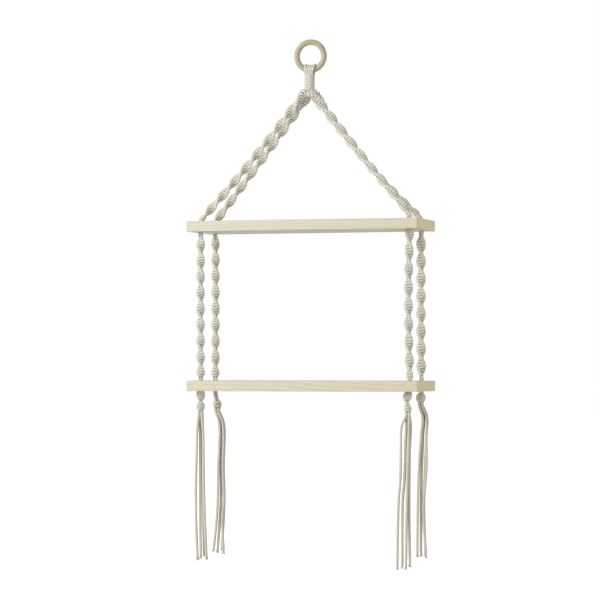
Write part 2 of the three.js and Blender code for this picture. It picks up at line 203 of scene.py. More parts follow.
# Cord meshes. A lobe is the share of its radius that a cord loses in the grooves between its
# plies, and a lay is the length in which the plies turn once.
PLIES = 3
PLY_LOBE = 0.07
LAY_LENGTH = 14
LONG_LAY = 160
CORD_SIDES = 9
SMOOTH_CORD_SIDES = 12
DOME_ANGLES = np.array([0.5, 0.95, 1.35])
LINE_STEP = 1.0
LEAST_SPAN = 1e-4
FIRST_ACROSS = (0.3, 1.0, 0.2)

# Maps of the cords. One unit of the yarn map is YARN_MAP_LENGTH of cord, and a cord's end is
# a small oval on it. The bake map lays all cords in rows.
YARN_MAP_LENGTH = 100
YARN_MAP_START = 9
YARN_END_SIZE = (0.02, 0.2)
BAKE_GIRTH = 11
BAKE_SLACK = 1.04
BAKE_MARGIN = 0.06
BAKE_ROW_SPARE = 4
BAKE_END_SIZE = 0.4

# The route of a working cord through one half knot: across the rope, over towards its
# face, and down, from the middle of a knot of the height below. The next knot turns it
# half round, and the other working cord runs opposite.
ROUTE_HEIGHT = 4.6
ROUTE_REACH = 6.2
KNOT_ROUTE = [
    (6.2, -0.6, -1.3),
    (5.1, -0.8, 0.3),
    (3.3, -1.8, 0.5),
    (1.4, -2.6, 0.1),
    (-1.7, -2.7, -0.5),
    (-3.4, -1.7, -1.1),
    (-3.9, 0.2, -1.7),
    (-4.4, 2.2, -1.5),
    (-5.1, 3.2, 0.1),
    (-5.3, 3.4, 2.2),
]

# The four corners. A leg starts beside the neck, at a place along X and Y and below the
# wrapping. It narrows from its start width over the length leg_narrowing, flattens from its
# start fullness over LEG_OPENING, is drawn aside near its start, sags in its middle, is
# knotted to a little past its straight part, and turns down into its hole from the height
# leg_foot. A leg's first bead is measured from its start, and a lower rope's first bead and
# top from the upper board's underside. A lower rope's middle stands aside by rope_bow. Each
# end knot lies below the lower board's underside.
CORNERS = [
    {
        "name": "front_left",
        "side": (-1, -1),
        "leg_start": (-13, -5, 5.8),
        "leg_start_width": 12.5,
        "leg_width": 16.8,
        "leg_narrowing": 30,
        "leg_start_fullness": 2.6,
        "leg_drawn": 0.5,
        "leg_sag": 5.3,
        "leg_foot": 1,
        "leg_knotted_to": 4,
        "leg_first_bead": 4.5,
        "leg_half_turn": 32.5,
        "rope_first_bead": 23.4,
        "rope_half_turn": 29.1,
        "rope_width": 16.6,
        "rope_bow": -0.6,
        "rope_top": 11,
        "knots": [
            {"below": 8.6, "height": 16.6, "width": 16, "aside": 0},
            {"below": 29, "height": 14.5, "width": 15, "aside": 0},
        ],
    },
    {
        "name": "back_left",
        "side": (-1, 1),
        "leg_start": (-9.5, 5, 12.7),
        "leg_start_width": 18.5,
        "leg_width": 16.8,
        "leg_narrowing": 30,
        "leg_start_fullness": 2.2,
        "leg_drawn": -3,
        "leg_sag": 0.8,
        "leg_foot": 3,
        "leg_knotted_to": 8,
        "leg_first_bead": 7,
        "leg_half_turn": 33.2,
        "rope_first_bead": 17.8,
        "rope_half_turn": 30,
        "rope_width": 16.9,
        "rope_bow": 0.4,
        "rope_top": 10,
        "knots": [{"below": 26.5, "height": 12, "width": 16, "aside": 4.2}],
    },
    {
        "name": "front_right",
        "side": (1, -1),
        "leg_start": (7, -5, 7.3),
        "leg_start_width": 20,
        "leg_width": 16,
        "leg_narrowing": 160,
        "leg_start_fullness": 3.4,
        "leg_drawn": 0,
        "leg_sag": 2.8,
        "leg_foot": 7.8,
        "leg_knotted_to": 22,
        "leg_first_bead": -3.6,
        "leg_half_turn": 31.1,
        "rope_first_bead": 40.4,
        "rope_half_turn": 32.3,
        "rope_width": 17,
        "rope_bow": -2.4,
        "rope_top": 1,
        "knots": [
            {"below": 10.3, "height": 13, "width": 16, "aside": -5},
            {"below": 32.5, "height": 9, "width": 14, "aside": -3.5},
        ],
    },
    {
        "name": "back_right",
        "side": (1, 1),
        "leg_start": (7, 5, 7.8),
        "leg_start_width": 16,
        "leg_width": 14.2,
        "leg_narrowing": 30,
        "leg_start_fullness": 3.6,
        "leg_drawn": 1,
        "leg_sag": 12,
        "leg_foot": 2,
        "leg_knotted_to": 4,
        "leg_first_bead": -10.3,
        "leg_half_turn": 29.3,
        "rope_first_bead": 24.2,
        "rope_half_turn": 31.4,
        "rope_width": 18.2,
        "rope_bow": -0.8,
        "rope_top": 10,
        "knots": [{"below": 13, "height": 13, "width": 17.4, "aside": -1}],
    },
]

# Four strands hang at each corner. The points of a strand are its route from the last knot
# down: along X and Y from the hole, and down.
STRAND_ROUTES = {
    "front_left": [
        [(-5.4, -3, 34), (-6.6, -3, 80), (-8, -3.2, 140), (-7.4, -3, 200), (-4.4, -3, 268)],
        [(-1.4, 2.6, 34), (-1.2, 2.4, 80), (-1.2, 1.6, 140), (-0.6, 0.5, 200), (1.2, -0.5, 266)],
        [(5.6, -2.6, 34), (6.4, -2.8, 80), (7.4, -3, 140), (9.4, -3, 200), (12.6, -2.5, 267)],
        [(3.4, 3.2, 34), (3.6, 3.4, 80), (3.6, 3.2, 140), (4.4, 3.6, 200), (6.2, 4.4, 262)],
    ],
    "back_left": [
        [(9, -3, 27), (7, -3, 113), (6.2, -3, 168), (4, -3.2, 205), (-1.9, -3.4, 262)],
        [(10.6, 2.6, 27), (10.4, 2.4, 113), (11, 1.6, 168), (8.8, 1.2, 205), (4.6, 1, 264)],
        [(15.8, -2.8, 27), (16, -2.8, 113), (18, -2.8, 168), (15, -3, 205), (17.8, -3, 266)],
        [(15.8, 2.8, 27), (15.6, 3, 113), (17, 3.2, 168), (15.4, 3.2, 205), (12, 3.6, 260)],
    ],
    "front_right": [
        [(-14, -3, 24), (-15.4, -3, 60), (-16.6, -2.6, 115), (-20, -2.6, 160), (-22.6, -2.4, 277)],
        [(-6.8, 1.8, 24), (-8.4, 1.6, 60), (-10, 1.4, 115), (-13.4, 1, 160), (-14, 0.2, 275)],
        [(-1, -2.6, 24), (-1.6, -2.8, 60), (-3.4, -2.8, 115), (-4.8, -2.8, 160), (-6.6, -2.6, 276)],
        [(1.2, 2.6, 24), (-0.6, 2.6, 60), (-1.4, 2.4, 115), (-1.8, 2.2, 160), (0, 1.2, 272)],
    ],
    "back_right": [
        [(3.2, -3.2, 27), (0.4, -3.2, 59), (-4, -3.2, 122), (-6, -3.2, 190), (-7, -3.2, 277)],
        [(4, 2.4, 27), (2.4, 2.4, 59), (-0.2, 2.4, 122), (-1, 1.8, 190), (-1.2, 1.2, 276)],
        [(10.4, -2.6, 27), (10, -2.8, 59), (9.6, -2.8, 122), (4.6, -2.8, 190), (9.4, -2.8, 278)],
        [(9.8, 3, 27), (8.6, 3, 59), (6, 3, 122), (4, 3.4, 190), (6.4, 3.6, 274)],
    ],
}

# Materials. A stretch is how often a pattern repeats in a metre along each axis, or on the
# yarn map along and round a cord. A contrast is where a pattern starts and where it is full.
YARN_STRETCH = (14, 160, 1)
YARN_CONTRAST = (0.35, 0.7)
PATCH_SCALE = 55
FUZZ_SCALE = 2600
FUZZ_RELIEF = 0.5
COTTON_SURFACE = {
    "Roughness": 0.95,
    "Specular IOR Level": 0.15,
    "Sheen Weight": 0.25,
    "Sheen Roughness": 0.5,
}
COTTON_BUMP = 0.0003
WANDER_STRETCH = (2.2, 9, 9)
WANDER_DEPTH = 0.05
WAVER_STRETCH = (5, 60, 60)
WAVER_SHARE = 1.2
LINE_SHARPNESS = 2.4
LINE_RELIEF = 0.6
FIBRE_STRETCH = (9, 700, 700)
FIBRE_CONTRAST = (0.45, 0.8)
FIBRE_SHARE = 0.12
BROAD_STRETCH = (3.5, 40, 40)
BROAD_CONTRAST = (0.3, 0.7)
STREAK_STRETCH = (3, 70, 170)
STREAK_CONTRAST = (0.42, 0.68)
PORE_SCALE = 900
PORE_CONTRAST = (0.35, 0.65)
PORE_SHARE = 0.25
END_GRAIN_CONTRAST = (0.8, 0.95)
WOOD_BUMP = 0.0002

# A Mix node's sockets for colours, which share their names with those for numbers
MIX_SHARE, MIX_FIRST, MIX_SECOND, MIX_RESULT = 0, 6, 7, 2

# Camera of the photograph: its place, and the way it looks
CAMERA_AZIMUTH = math.radians(16.68)
CAMERA_DISTANCE = 5039
CAMERA_Z = -575.5
FOCAL_PIXELS = 2793.6
PICTURE_PIXELS = 600
AXIS_COLUMN = 310.59
AXIS_ROW = 363.4
SENSOR_WIDTH = 36

# Stage and light, in metres. Each lamp has its place, its width and its watts.
CLIP_END = 100
WHITE = (1, 1, 1, 1)
FLOOR_COLOUR = (0.8, 0.8, 0.8, 1)
FLOOR_ROUGHNESS = 0.9
FLOOR_GLOW = 0.8
FLOOR_SIZE = 40
FLOOR_BELOW = 0.12
WORLD_COLOUR = (1.0, 1.0, 0.99, 1)
WORLD_STRENGTH = 0.42
LAMP_AIM = (0, 0, -0.45)
LAMPS = {
    "key": ((-2.6, -2.8, 0.9), 1.8, 106),
    "fill": ((2.6, -2.2, 0.2), 2.4, 25),
}


def box_mm(node):
    """A node's lowest and highest corners in millimetres."""
    low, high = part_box(node)
    return np.array(low) / MM, np.array(high) / MM


# Places worked out from the sizes and the frame
upper_low, upper_high = box_mm("upper_board")
lower_low, lower_high = box_mm("lower_board")
HOLE_X = upper_high[0] - HOLE_FROM_END
HOLE_Y = upper_high[1] - HOLE_FROM_FRONT
BAR_RADIUS = RING_BAR / 2
RING_RADIUS = RING_DIAMETER / 2 - BAR_RADIUS
RING_CENTRE_Z = BAR_RADIUS - RING_RADIUS
WRAP_TOP_Z = box_mm("neck_wrap")[1][2]
SWAY_Z = WRAP_TOP_Z - NECK_TO_SWAY
UPPER_TOP_Z, UPPER_BOTTOM_Z = upper_high[2], upper_low[2]
LOWER_TOP_Z, LOWER_BOTTOM_Z = lower_high[2], lower_low[2]
ROPE_TOP_PIVOT_Z = UPPER_BOTTOM_Z - PIVOT_BELOW_UPPER
ROPE_BOTTOM_PIVOT_Z = LOWER_TOP_Z + PIVOT_ABOVE_LOWER


# Nodes and materials
class Nodes:
    """The nodes of a material or a world, with a short way to add and join them."""

    def __init__(self, owner):
        owner.use_nodes = True
        self.owner = owner
        self.tree = owner.node_tree
        self.shader = self.tree.nodes.get("Principled BSDF")

    def add(self, kind, settings=None, **inputs):
        node = self.tree.nodes.new(kind)
        for key, value in (settings or {}).items():
            setattr(node, key, value)
        for key, value in inputs.items():
            self.put(node, key.replace("_", " "), value)
        return node

    def put(self, node, socket, value):
        """Joins a socket, given by its name or number, to another, or sets its value."""
        entry = node.inputs[socket]
        if isinstance(value, bpy.types.NodeSocket):
            self.tree.links.new(value, entry)
        else:
            entry.default_value = value

    def math(self, operation, *values):
        node = self.add("ShaderNodeMath", {"operation": operation})
        for socket, value in enumerate(values):
            self.put(node, socket, value)
        return node.outputs[0]

    def noise(self, vector, scale, detail=2.0, roughness=0.5):
        node = self.add("ShaderNodeTexNoise", Vector=vector, Scale=scale)
        self.put(node, "Detail", detail)
        self.put(node, "Roughness", roughness)
        return node.outputs["Fac"]

    def stretched_noise(self, vector, stretch, detail=2.0, roughness=0.5):
        node = self.add("ShaderNodeMapping", Vector=vector, Scale=stretch)
        return self.noise(node.outputs["Vector"], 1.0, detail, roughness)

    def blend(self, share, first, second):
        node = self.add("ShaderNodeMix", {"data_type": "RGBA"})
        self.put(node, MIX_SHARE, share)
        self.put(node, MIX_FIRST, first)
        self.put(node, MIX_SECOND, second)
        return node.outputs[MIX_RESULT]

    def between(self, value, low, high):
        """How far a value is on its way from low to high, from 0 to 1."""
        node = self.add("ShaderNodeMapRange", Value=value, From_Min=low, From_Max=high)
        return node.outputs["Result"]

    def bump(self, height, distance, strength):
        node = self.add("ShaderNodeBump", Height=height, Distance=distance, Strength=strength)
        self.surface("Normal", node.outputs["Normal"])

    def surface(self, socket, value):
        self.put(self.shader, socket, value)

    def background_ray(self):
        """1 for the rays that show the background: seen by the camera, in gloss or in glass."""
        path = self.add("ShaderNodeLightPath")
        seen = path.outputs["Is Camera Ray"]
        for ray in ("Is Glossy Ray", "Is Transmission Ray"):
            seen = self.math("MAXIMUM", seen, path.outputs[ray])
        return seen


def colour(red, green, blue):
    """A colour given as 0 to 255 on a screen, as the linear colour of a shader."""
    def linear(value):
        share = value / 255
        return share / 12.92 if share <= 0.04045 else ((share + 0.055) / 1.055) ** 2.4
    return (linear(red), linear(green), linear(blue), 1.0)


def make_cotton(name, pale_tone, worn_tone, yarn_tone, yarn_share=0.3, relief=0.5):
    """Cotton cord: off-white, with slightly worn patches and fine yarns along its lay."""
    nodes = Nodes(bpy.data.materials.new(name))
    place = nodes.add("ShaderNodeTexCoord").outputs["Object"]
    lay = nodes.add("ShaderNodeUVMap", {"uv_map": "lay"}).outputs["UV"]
    yarn = nodes.stretched_noise(lay, YARN_STRETCH, detail=3.0, roughness=0.6)
    patches = nodes.noise(place, PATCH_SCALE, detail=3.0, roughness=0.6)
    fuzz = nodes.noise(place, FUZZ_SCALE, detail=2.0, roughness=0.7)
    pale = nodes.blend(patches, pale_tone, worn_tone)
    yarns = nodes.between(yarn, *YARN_CONTRAST)
    nodes.surface("Base Color", nodes.blend(yarns, nodes.blend(yarn_share, pale, yarn_tone), pale))
    for socket, value in COTTON_SURFACE.items():
        nodes.surface(socket, value)
    height = nodes.math("ADD", yarn, nodes.math("MULTIPLY", fuzz, FUZZ_RELIEF))
    nodes.bump(height, COTTON_BUMP, relief)
    return nodes.owner


def make_wood(name, early, late, end_tone_and_painted_light, ring_width, pith, slope, contrast, roughness,
              specular, relief):
    """Sawn wood: growth rings round a pith that runs along X outside the piece, fine
    fibres along the grain, and end grain in a tone of its own, which is partly painted light
    where it is set lighter than the faces."""
    nodes = Nodes(bpy.data.materials.new(name))
    calc = nodes.math
    coordinates = nodes.add("ShaderNodeTexCoord")
    place = coordinates.outputs["Object"]
    x, y, z = nodes.add("ShaderNodeSeparateXYZ", Vector=place).outputs

    wander = calc("SUBTRACT", nodes.stretched_noise(place, WANDER_STRETCH), 0.5)
    tilted = calc("ADD", z, calc("MULTIPLY", x, slope))
    bent = calc("ADD", tilted, calc("MULTIPLY", wander, WANDER_DEPTH))
    across = calc("ADD", y, -pith[0] * MM)
    up = calc("ADD", bent, -pith[1] * MM)
    across_squared = calc("MULTIPLY", across, across)
    up_squared = calc("MULTIPLY", up, up)
    radius = calc("SQRT", calc("ADD", across_squared, up_squared))
    waver = calc("MULTIPLY", nodes.stretched_noise(place, WAVER_STRETCH), WAVER_SHARE)
    rings = calc("ADD", calc("DIVIDE", radius, ring_width * MM), waver)
    line = calc("POWER", calc("FRACT", rings), LINE_SHARPNESS)

    broad = calc("ADD", nodes.stretched_noise(place, BROAD_STRETCH), x)
    plain = nodes.blend(nodes.between(broad, *BROAD_CONTRAST), early[0], early[1])
    streaks = nodes.stretched_noise(place, STREAK_STRETCH)
    base = nodes.blend(nodes.between(streaks, *STREAK_CONTRAST), plain, early[2])
    ringed = nodes.blend(calc("MULTIPLY", line, contrast), base, late)
    fibres = nodes.stretched_noise(place, FIBRE_STRETCH, detail=3.0, roughness=0.6)
    fibre_share = calc("MULTIPLY", nodes.between(fibres, *FIBRE_CONTRAST), FIBRE_SHARE)
    fibred = nodes.blend(fibre_share, ringed, late)

    normal = nodes.add("ShaderNodeSeparateXYZ", Vector=coordinates.outputs["Normal"])
    ends = nodes.between(calc("ABSOLUTE", normal.outputs[0]), *END_GRAIN_CONTRAST)
    pores = nodes.between(nodes.noise(place, PORE_SCALE, roughness=0.6), *PORE_CONTRAST)
    sawn_ends_and_painted_light = nodes.blend(pores, end_tone_and_painted_light, nodes.blend(PORE_SHARE, end_tone_and_painted_light, late))
    nodes.surface("Base Color", nodes.blend(ends, fibred, sawn_ends_and_painted_light))
    nodes.surface("Roughness", roughness)
    nodes.surface("Specular IOR Level", specular)
    height = calc("ADD", fibres, calc("MULTIPLY", line, LINE_RELIEF))
    nodes.bump(height, WOOD_BUMP, relief)
    return nodes.owner


# Curves
def catmull(points, steps):
    """A smooth curve through rows of numbers, of which the first three are a place."""
    points = np.asarray(points, float)
    ends = np.vstack([2 * points[0] - points[1], points, 2 * points[-1] - points[-2]])
    spans = np.linalg.norm(np.diff(ends[:, :3], axis=0), axis=1) ** 0.5
    spans = np.maximum(spans, LEAST_SPAN)[:, None]
    p0, p1, p2, p3 = ends[:-3], ends[1:-2], ends[2:-1], ends[3:]
    d0, d1, d2 = spans[:-2], spans[1:-1], spans[2:]
    t1 = ((p1 - p0) / d0 - (p2 - p0) / (d0 + d1) + (p2 - p1) / d1) * d1
    t2 = ((p2 - p1) / d1 - (p3 - p1) / (d1 + d2) + (p3 - p2) / d2) * d1
    c2 = -3 * p1 + 3 * p2 - 2 * t1 - t2
    c3 = 2 * p1 - 2 * p2 + t1 + t2
    p1, t1, c2, c3 = (rows[:, None] for rows in (p1, t1, c2, c3))
    shares = (np.arange(steps) / steps)[None, :, None]
    rows = p1 + t1 * shares + c2 * shares ** 2 + c3 * shares ** 3
    return np.vstack([rows.reshape(-1, points.shape[1]), points[-1]])


def length_along(points):
    """The length of a curve from its start to each of its points."""
    spans = np.linalg.norm(np.diff(points[:, :3], axis=0), axis=1)
    return np.concatenate([[0], np.cumsum(spans)])


def interpolated(wanted, along, rows):
    """Rows at the wanted lengths, between the rows at the lengths along a curve."""
    return np.stack([np.interp(wanted, along, column) for column in rows.T], axis=-1)


def evenly(points, step):
    """The same curve in even steps."""
    along = length_along(points)
    count = max(2, int(round(along[-1] / step)))
    return interpolated(np.linspace(0, along[-1], count + 1), along, points)


def unit(rows):
    """The rows, each made one long."""
    return rows / np.maximum(np.linalg.norm(rows, axis=-1, keepdims=True), TINY)


def carried_frames(points):
    """For each point a direction along the curve and one across it that turns least."""
    along = unit(np.gradient(points, axis=0))
    across = np.zeros_like(points)
    across[0] = unit(np.cross(along[0], FIRST_ACROSS))
    for place in range(1, len(points)):
        before = across[place - 1]
        across[place] = unit(before - along[place] * np.dot(before, along[place]))
    return along, across


class Line:
    """The middle line of a rope, which gives places across and over it at any length."""

    def __init__(self, points):
        self.points = evenly(np.asarray(points, float), LINE_STEP)
        self.along = length_along(self.points)
        self.length = self.along[-1]
        self.tangents = unit(np.gradient(self.points, axis=0))

    def at(self, lengths, across, over):
        """Places at the lengths, the given distances off the line. Past its ends the line
        runs straight on."""
        inside = np.clip(lengths, 0, self.length)
        centre = interpolated(inside, self.along, self.points)
        tangent = unit(interpolated(inside, self.along, self.tangents))
        centre = centre + tangent * (lengths - inside)[:, None]
        side = unit(np.array([1.0, 0, 0]) - tangent * tangent[:, :1])
        face = np.cross(tangent, side)
        return centre + side * across[:, None] + face * over[:, None]


# Meshes of cords
def round_ends(points, radii):
    """Adds rings that close both ends of a cord in a dome."""
    for end, inner in ((0, 1), (-1, -2)):
        way = unit(points[end] - points[inner]) * radii[end]
        dome = points[end] + way * np.sin(DOME_ANGLES)[:, None]
        sizes = radii[end] * np.cos(DOME_ANGLES)
        if end == 0:
            points, radii = np.vstack([dome[::-1], points]), np.concatenate([sizes[::-1], radii])
        else:
            points, radii = np.vstack([points, dome]), np.concatenate([radii, sizes])
    return points, radii


def fan(sides):
    """The triangles that fill a ring of corners, each with its last corner given twice."""
    return np.array([(0, side, side + 1, side + 1) for side in range(1, sides - 1)])


def tube_map(near, far, low, high):
    """The map corners of a tube's faces, between two lengths and between two sides."""
    near, far, low, high = np.broadcast_arrays(near, far, low, high)
    corners = ((near, low), (near, high), (far, high), (far, low))
    return np.stack([np.stack(corner, -1) for corner in corners], axis=2).reshape(-1, 2)


def oval_map(sides, middle, size):
    """The map corners of a cord's end, as an oval."""
    angles = fan(sides) * FULL_TURN / sides
    along, round_it = middle[0] + size[0] * np.cos(angles), middle[1] + size[1] * np.sin(angles)
    return np.stack([along, round_it], -1).reshape(-1, 2)


def add_object(name, data):
    """A new object in the scene."""
    item = bpy.data.objects.new(name, data)
    bpy.context.scene.collection.objects.link(item)
    return item


class Skein:
    """Cords that are joined into one piece."""

    def __init__(self, name):
        self.name = name
        self.places = []
        self.faces = []
        self.lay = []
        self.strips = []
        self.count = 0

    def cord(self, points, radii, sides=CORD_SIDES, lobe=PLY_LOBE, lay=LAY_LENGTH):
        """A twisted cord of three plies along the points."""
        points = np.asarray(points, float)
        points, radii = round_ends(points, np.broadcast_to(radii, len(points)))
        along, across = carried_frames(points)
        over = np.cross(along, across)
        lengths = length_along(points)
        angles = np.arange(sides) * FULL_TURN / sides
        plies = 1 - lobe * np.maximum(np.cos(PLIES * angles), 0)
        turns = angles[None] + (FULL_TURN * lengths / lay + rng.uniform(0, ANY_ANGLE))[:, None]
        reach = radii[:, None] * plies[None]
        rings = points[:, None] + (reach * np.cos(turns))[..., None] * across[:, None]
        rings = rings + (reach * np.sin(turns))[..., None] * over[:, None]
        self.tube(rings, lengths, rng.uniform(0, YARN_MAP_START))

    def tube(self, rings, lengths, offset):
        """Faces between rings of places, closed at both ends."""
        count, sides = rings.shape[:2]
        base = self.count
        self.places.append(rings.reshape(-1, 3))
        self.count += count * sides
        ring, side = np.meshgrid(np.arange(count - 1), np.arange(sides), indexing="ij")
        here, there = base + ring * sides, base + (ring + 1) * sides
        after = (side + 1) % sides
        faces = np.stack([here + side, here + after, there + after, there + side], -1)
        self.faces.append(faces.reshape(-1, 4))
        along = lengths[:, None] / YARN_MAP_LENGTH + offset
        self.lay.append(tube_map(along[:-1], along[1:], side / sides, (side + 1) / sides))
        self.strips.append((lengths, sides))
        for first, order in ((base, -1), (base + (count - 1) * sides, 1)):
            self.faces.append(first + np.arange(sides)[::order][fan(sides)])
            self.lay.append(oval_map(sides, (offset, 0), YARN_END_SIZE))
            self.strips.append((None, sides))

    def bake_map(self):
        """A map of the whole surface: the cords' ends in its first row, and the cords in
        the rows after it."""
        total = sum(lengths[-1] for lengths, sides in self.strips if lengths is not None)
        ends = sum(1 for lengths, sides in self.strips if lengths is None)
        row_length = math.sqrt(total * BAKE_GIRTH) * BAKE_SLACK
        span = row_length + BAKE_ROW_SPARE
        rows = int(total / row_length) + 2
        end_size = BAKE_END_SIZE * min(1 / ends, 1 / rows)
        out = []
        start = 0.0
        end = 0
        for lengths, sides in self.strips:
            if lengths is None:
                middle = ((end + 0.5) / ends, 0.5 / rows)
                out.append(oval_map(sides, middle, (end_size, end_size)))
                end += 1
                continue
            ahead = start + lengths[:-1, None]
            row = ahead // row_length
            left = ahead - row * row_length
            right = left + np.diff(lengths)[:, None]
            edges = BAKE_MARGIN + (1 - 2 * BAKE_MARGIN) * np.arange(sides + 1) / sides
            low, high = (row + 1 + edges[:-1]) / rows, (row + 1 + edges[1:]) / rows
            out.append(tube_map(left / span, right / span, low, high))
            start += lengths[-1]
        return np.concatenate(out)

    def build(self, material):
        """The piece, with the yarn map that its material reads and the bake map."""
        places = np.concatenate(self.places) * MM
        faces = np.concatenate(self.faces)
        is_quad = faces[:, 2] != faces[:, 3]
        sizes = np.where(is_quad, 4, 3)
        starts = np.concatenate([[0], np.cumsum(sizes)[:-1]])
        used = np.ones(faces.shape, bool)
        used[~is_quad, 3] = False
        mesh = bpy.data.meshes.new(self.name)
        mesh.vertices.add(len(places))
        mesh.vertices.foreach_set("co", places.astype(np.float32).ravel())
        mesh.loops.add(int(sizes.sum()))
        mesh.loops.foreach_set("vertex_index", faces[used].astype(np.int32))
        mesh.polygons.add(len(faces))
        mesh.polygons.foreach_set("loop_start", starts.astype(np.int32))
        mesh.polygons.foreach_set("use_smooth", np.ones(len(faces), bool))
        mesh.update(calc_edges=True)
        for name, corners in (("lay", np.concatenate(self.lay)), ("OFBake", self.bake_map())):
            corners = corners.reshape(len(faces), 4, 2)[used]
            layer = mesh.uv_layers.new(name=name)
            layer.uv.foreach_set("vector", corners.astype(np.float32).ravel())
        mesh.validate()
        mesh.materials.append(material)
        return add_object(self.name, mesh)


# Knotted ropes
def ease(share):
    """Rises from 0 to 1, and slows down as it gets there."""
    return math.sin(min(1, max(0, share)) * QUARTER_TURN)


def partly(kept, share):
    """A factor of which one part is kept and the rest follows the share."""
    return kept + (1 - kept) * share


def nearest(angle, reference, period):
    """The angle, moved by whole periods to be nearest to the reference."""
    return angle + period * round((reference - angle) / period)


def bead_angles(first_bead, half_turn):
    """The angle at a length of a rope that shows its first bead and one at each half turn."""
    return lambda length: -math.pi * (length - first_bead) / half_turn - BEAD_FACING


def half_knots(first, last, pitch, angle_at, width_at, fullness_at=lambda length: 1):
    """Evenly spaced half knots between two lengths."""
    count = max(1, int(round((last - first) / pitch)))
    step = (last - first) / count
    knots = []
    for length in first + step * (np.arange(count) + 0.5):
        knots.append({
            "at": length,
            "height": step,
            "angle": angle_at(length),
            "width": width_at(length),
            "fullness": fullness_at(length),
        })
    return knots


def tie(knot, turn):
    """A working cord through a half knot, and the filler's reach in it. The cord's rows
    are its length along the rope, its angle and reach from the middle, and its radius."""
    scale = (knot["width"] / 2 - KNOT_CORD_RADIUS) / ROUTE_REACH
    deep = partly(KNOT_DEPTH_KEPT, scale)
    radius = KNOT_CORD_RADIUS * partly(KNOT_RADIUS_KEPT, scale)
    radius *= partly(KNOT_RADIUS_KEPT_WHEN_FULL, knot["fullness"])
    rows = []
    for across, over, down in KNOT_ROUTE:
        across = across * scale + rng.normal(0, KNOT_JITTER_ACROSS)
        over = over * deep * KNOT_FLATNESS * knot["fullness"] + rng.normal(0, KNOT_JITTER_OVER)
        at = knot["at"] + down * knot["height"] / ROUTE_HEIGHT
        rows.append((at, math.atan2(over, across) + turn, math.hypot(across, over), radius))
    return rows, FILLER_REACH * deep


def rope_cords(skein, line, groups, end_angle=None):
    """Two working cords and two fillers along the line. In each group of half knots the
    working cords tie round the fillers, and between the groups all four run side by side."""
    work, fill = [], []

    def run_side_by_side(here, there, from_angle, to_angle):
        count = max(1, int(round((there - here) / BUNDLE_STEP)))
        for share in np.arange(count + 1) / count:
            angle = from_angle + (to_angle - from_angle) * share
            length = here + (there - here) * share
            work.append((length, angle, BUNDLE_REACH, BUNDLE_CORD_RADIUS))
            fill.append((length, angle + QUARTER_TURN, BUNDLE_REACH, BUNDLE_CORD_RADIUS))

    first_angle = WING_LEAN + math.atan2(KNOT_ROUTE[0][1], KNOT_ROUTE[0][0])
    last_angle = WING_LEAN + math.atan2(KNOT_ROUTE[-1][1], KNOT_ROUTE[-1][0])
    here, angle = 0, end_angle
    for group in groups:
        entry = group[0]["angle"] + first_angle
        if angle is None:
            angle = entry
        entry = nearest(entry, angle, math.pi)
        angle = nearest(angle, entry, QUARTER_TURN)
        lead_end = group[0]["at"] - group[0]["height"] - KNOT_LEAD
        if lead_end > here:
            run_side_by_side(here, lead_end, angle, entry)
        turned = round((entry - group[0]["angle"] - first_angle) / math.pi)
        fill_angle = fill[-1][1] if fill else entry + QUARTER_TURN
        for place, knot in enumerate(group):
            rows, fill_reach = tie(knot, knot["angle"] + WING_LEAN + math.pi * (turned + place))
            work.extend(rows)
            fill_angle = nearest(knot["angle"], fill_angle, math.pi)
            fill.append((knot["at"], fill_angle, fill_reach, KNOT_FILLER_RADIUS))
        last = group[-1]
        angle = last["angle"] + last_angle + math.pi * (turned + len(group) - 1)
        here = last["at"] + last["height"] * KNOT_RUN_OUT
    if line.length > here:
        final = angle if end_angle is None else nearest(end_angle, angle, QUARTER_TURN)
        beside = angle + QUARTER_TURN
        fill_turn = nearest(beside, fill[-1][1], math.pi) - beside
        kept = len(fill)
        run_side_by_side(here, line.length, angle, final)
        fill[kept:] = [(s, a + fill_turn, r, c) for s, a, r, c in fill[kept:]]
    for rows, steps in ((work, WORK_CURVE_STEPS), (fill, FILL_CURVE_STEPS)):
        lengths, angles, reach, radii = np.array(rows).T
        for opposite in (0, math.pi):
            around = angles + opposite
            places = line.at(lengths, reach * np.cos(around), reach * np.sin(around))
            curve = catmull(np.column_stack([places, radii]), steps)
            skein.cord(curve[:, :3], curve[:, 3])


def corner_place(corner, z):
    """The middle of a corner's hole, at a height."""
    side_x, side_y = corner["side"]
    return np.array([side_x * HOLE_X, side_y * HOLE_Y, z])


def finish_cotton(piece, body, *nodes):
    """Lets a cotton piece ride on its body in place of its nodes."""
    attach(piece, body)
    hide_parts(*nodes)


# Pieces
def make_ring(material):
    """The turned ring, upright, with a slightly uneven bar."""
    turn = np.arange(RING_STEPS) * FULL_TURN / RING_STEPS
    tilt = np.arange(RING_SIDES) * FULL_TURN / RING_SIDES
    waves = sum(share * np.sin(count * turn + start) for count, start, share in RING_WAVES)
    bar = BAR_RADIUS * (1 + waves)
    out = RING_RADIUS + bar[:, None] * np.cos(tilt)[None]
    x = out * np.cos(turn)[:, None]
    z = RING_CENTRE_Z + out * np.sin(turn)[:, None]
    y = bar[:, None] * np.sin(tilt)[None]
    places = np.stack([x, y, z], -1).reshape(-1, 3) * MM
    faces = []
    for step in range(RING_STEPS):
        here, there = step * RING_SIDES, (step + 1) % RING_STEPS * RING_SIDES
        for side in range(RING_SIDES):
            after = (side + 1) % RING_SIDES
            faces.append((here + side, there + side, there + after, here + after))
    mesh = bpy.data.meshes.new("ring")
    mesh.from_pydata(places.tolist(), [], faces)
    mesh.polygons.foreach_set("use_smooth", [True] * len(faces))
    mesh.materials.append(material)
    piece = add_object("ring", mesh)
    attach(piece, "ring")
    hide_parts("wooden_ring")


